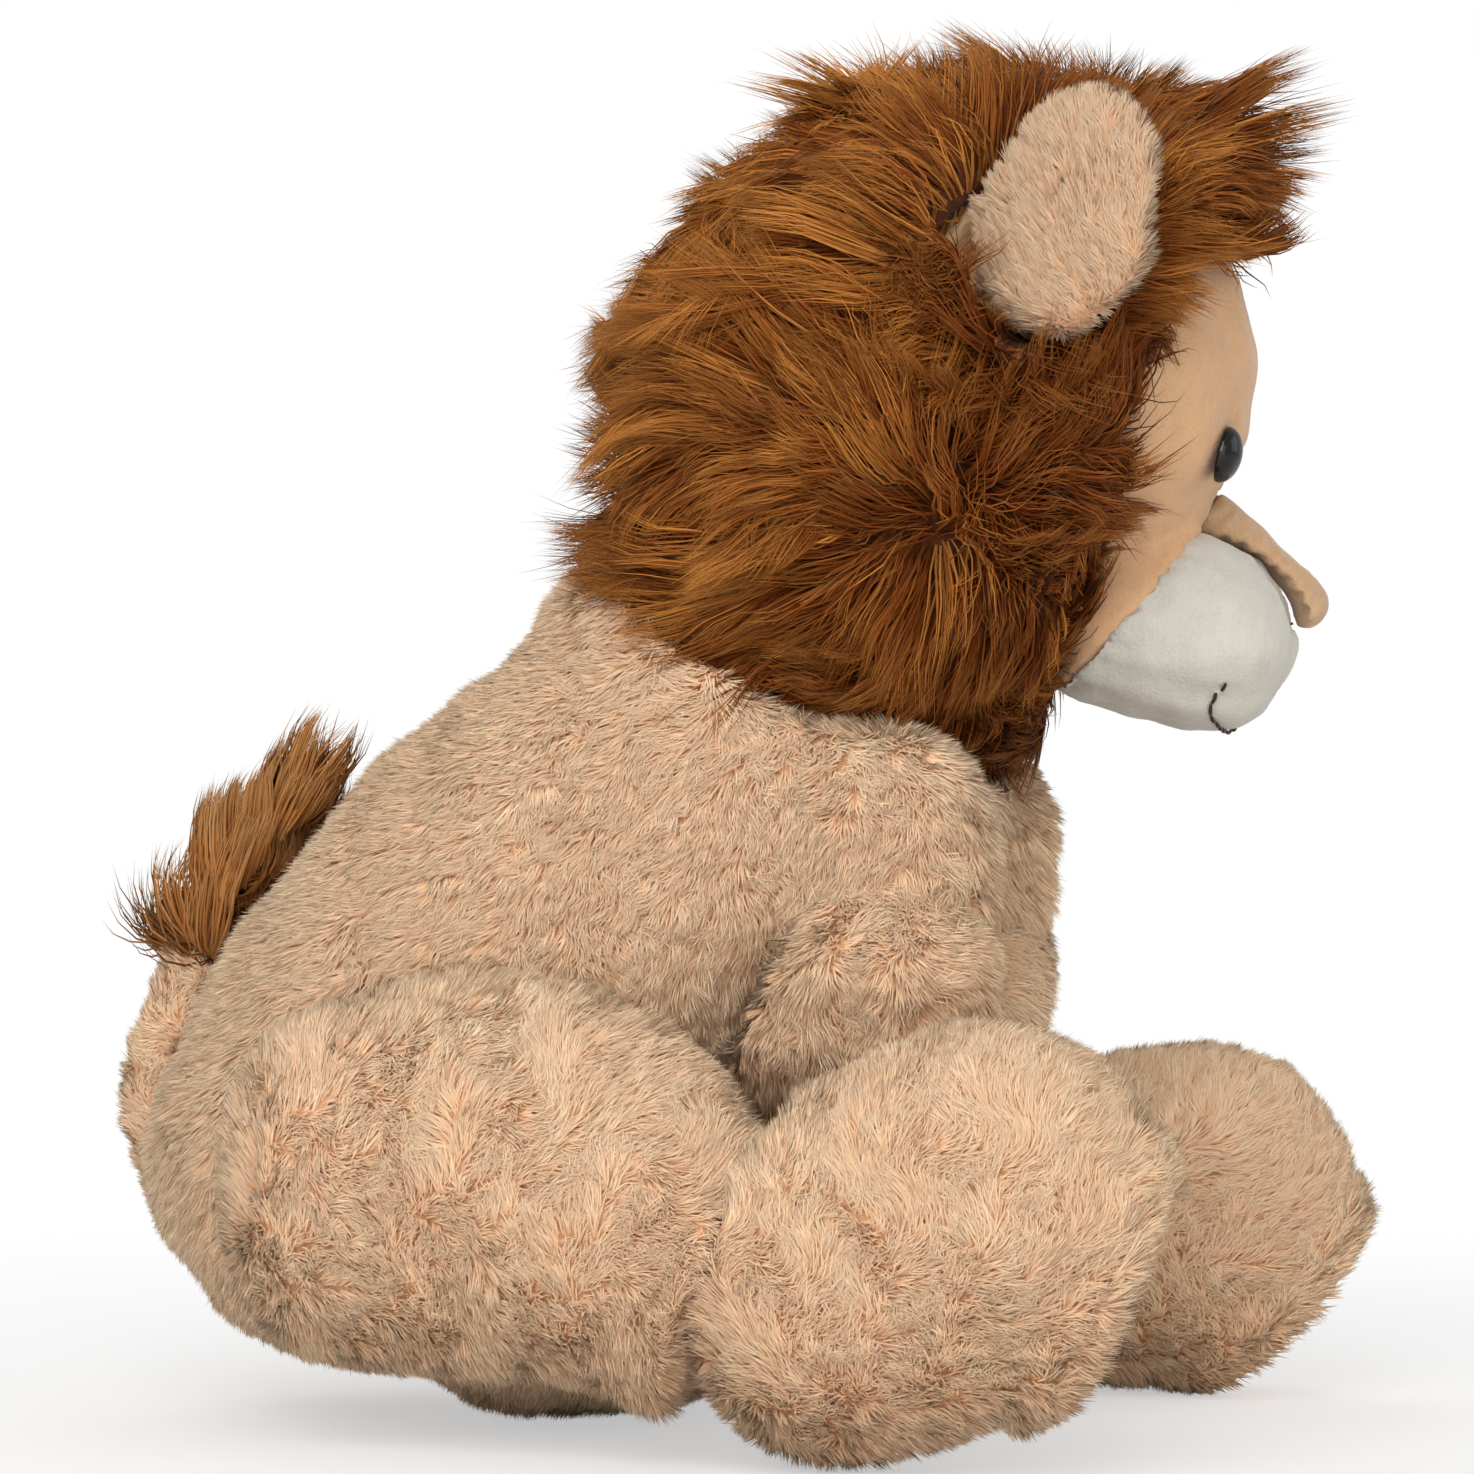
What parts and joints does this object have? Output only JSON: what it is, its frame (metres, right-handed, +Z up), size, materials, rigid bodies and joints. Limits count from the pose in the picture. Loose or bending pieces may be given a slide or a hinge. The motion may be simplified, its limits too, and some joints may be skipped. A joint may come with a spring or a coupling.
{
  "type": "plush lion",
  "caption": "Seated stuffed lion with long-pile mane, white muzzle, domed safety eyes, curled tufted tail and turned head.",
  "frame": {"origin": "middle of the footprint on the floor that the lion sits on, midway between its front and its back", "axes": "+Z up, -Y the way that the body faces, +X to the side of its left paws"},
  "size_m": [0.424, 0.5422, 0.581],
  "materials": {
    "tan_pile": "short fluffy pile",
    "tan_smooth": "short smooth pile",
    "white_smooth": "short smooth pile",
    "mane_pile": "long soft pile",
    "tuft_pile": "long soft pile",
    "eye_black": "polished",
    "washer_plastic": "moulded",
    "filling": "loose fibre"
  },
  "bodies": {
    "torso": {"torso_cover": "tan_pile", "torso_filling": "filling"},
    "neck": {"neck_filling": "filling"},
    "head": {"head_filling": "filling", "face": "tan_smooth", "muzzle_right": "white_smooth", "muzzle_left": "white_smooth", "nose_bridge": "tan_smooth", "mane": "mane_pile", "eye_right": "eye_black", "eye_left": "eye_black", "eye_washer_right": "washer_plastic", "eye_washer_left": "washer_plastic"},
    "ear_right": {"ear_right": "tan_pile", "ear_lining_right": "tan_smooth"},
    "ear_left": {"ear_left": "tan_pile", "ear_lining_left": "tan_smooth"},
    "arm_right": {"arm_right": "tan_pile"},
    "arm_left": {"arm_left": "tan_pile"},
    "leg_right": {"leg_right": "tan_pile", "foot_right": "tan_pile", "sole_right": "tan_pile"},
    "leg_left": {"leg_left": "tan_pile", "foot_left": "tan_pile", "sole_left": "tan_pile"},
    "tail": {"tail": "tan_pile", "tail_tuft": "tuft_pile"}
  },
  "joints": [
    {"name": "head_nod", "type": "hinge", "parent": "torso", "child": "neck", "pos_m": [0, -0.10291, 0.414], "axis": [1, 0, 0], "range_deg": [-10, 12]},
    {"name": "head_turn", "type": "hinge", "parent": "neck", "child": "head", "pos_m": [0, -0.10291, 0.414], "axis": [0, -0.5299, 0.848], "range_deg": [-50, 20]},
    {"name": "ear_right_fold", "type": "hinge", "parent": "head", "child": "ear_right", "pos_m": [-0.11487, -0.17513, 0.46361], "axis": [0.4404, 0.8032, 0.4011], "range_deg": [-15, 15], "stiffness_Nm_per_rad": 0.03},
    {"name": "arm_right_swing", "type": "hinge", "parent": "torso", "child": "arm_right", "pos_m": [-0.078, -0.10291, 0.252], "axis": [-1, 0, 0], "range_deg": [0, 40]},
    {"name": "leg_right_spread", "type": "hinge", "parent": "torso", "child": "leg_right", "pos_m": [-0.132, 0.10509, 0.109], "axis": [0, 0, -1], "range_deg": [0, 15]},
    {"name": "ear_left_fold", "type": "hinge", "parent": "head", "child": "ear_left", "pos_m": [0.11696, -0.12245, 0.49653], "axis": [0.8283, -0.5149, -0.221], "range_deg": [-15, 15], "stiffness_Nm_per_rad": 0.03},
    {"name": "arm_left_swing", "type": "hinge", "parent": "torso", "child": "arm_left", "pos_m": [0.078, -0.09791, 0.252], "axis": [-1, 0, 0], "range_deg": [0, 40]},
    {"name": "leg_left_spread", "type": "hinge", "parent": "torso", "child": "leg_left", "pos_m": [0.132, 0.10509, 0.109], "axis": [0, 0, 1], "range_deg": [0, 15]},
    {"name": "tail_swing", "type": "hinge", "parent": "torso", "child": "tail", "pos_m": [0, 0.23109, 0.084], "axis": [-1, 0, 0], "range_deg": [0, 45]}
  ]
}
